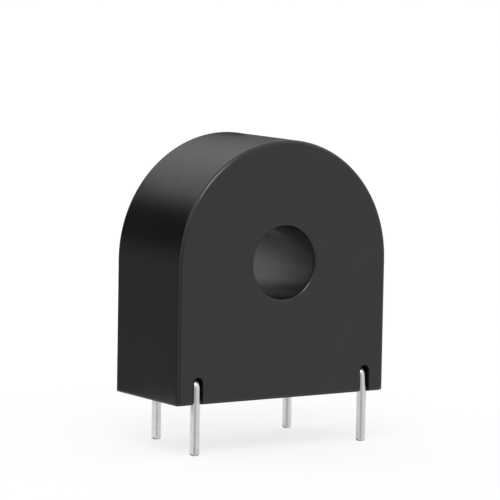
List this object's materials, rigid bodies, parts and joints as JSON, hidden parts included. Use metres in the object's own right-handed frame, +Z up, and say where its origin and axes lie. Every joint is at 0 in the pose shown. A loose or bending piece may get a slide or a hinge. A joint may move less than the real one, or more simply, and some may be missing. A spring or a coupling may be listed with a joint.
{
  "type": "current transformer",
  "caption": "Board-mounted current transformer: a black D-shaped case with a round window for the measured conductor, potted from behind, on bent wire pins.",
  "frame": {"origin": "middle of the flat underside that sits on the circuit board", "axes": "+X to the right seen from the front face, +Y along the window from the front face to the potted back, +Z up away from the board"},
  "size_m": [0.022, 0.0102, 0.0275],
  "materials": {
    "black_plastic": "fine satin, as moulded",
    "black_resin": "glossy cast epoxy with a slight meniscus",
    "tinned_wire": "satin bright tin over copper, drawn along its length",
    "solder": "bright tin solder",
    "enamelled_copper": "copper wire under clear enamel",
    "sleeving": "smooth white sleeving",
    "film_tape": "glossy yellow polyester film",
    "pale_plastic": "natural moulded plastic",
    "soft_pad": "soft closed foam",
    "core_ribbon": "wound thin metal ribbon seen on edge"
  },
  "bodies": {
    "root": {"case": "black_plastic", "potting_resin": "black_resin", "pin_front_left": "tinned_wire", "pin_front_right": "tinned_wire", "pin_back_left": "tinned_wire", "pin_back_right": "tinned_wire", "solder_start": "solder", "solder_finish": "solder", "lead_start": "enamelled_copper", "lead_finish": "enamelled_copper", "sleeve_start": "sleeving", "sleeve_finish": "sleeving", "winding_tape": "film_tape", "secondary_winding": "enamelled_copper", "core_box": "pale_plastic", "core_box_lid": "pale_plastic", "core_pad": "soft_pad", "core": "core_ribbon"}
  },
  "joints": []
}
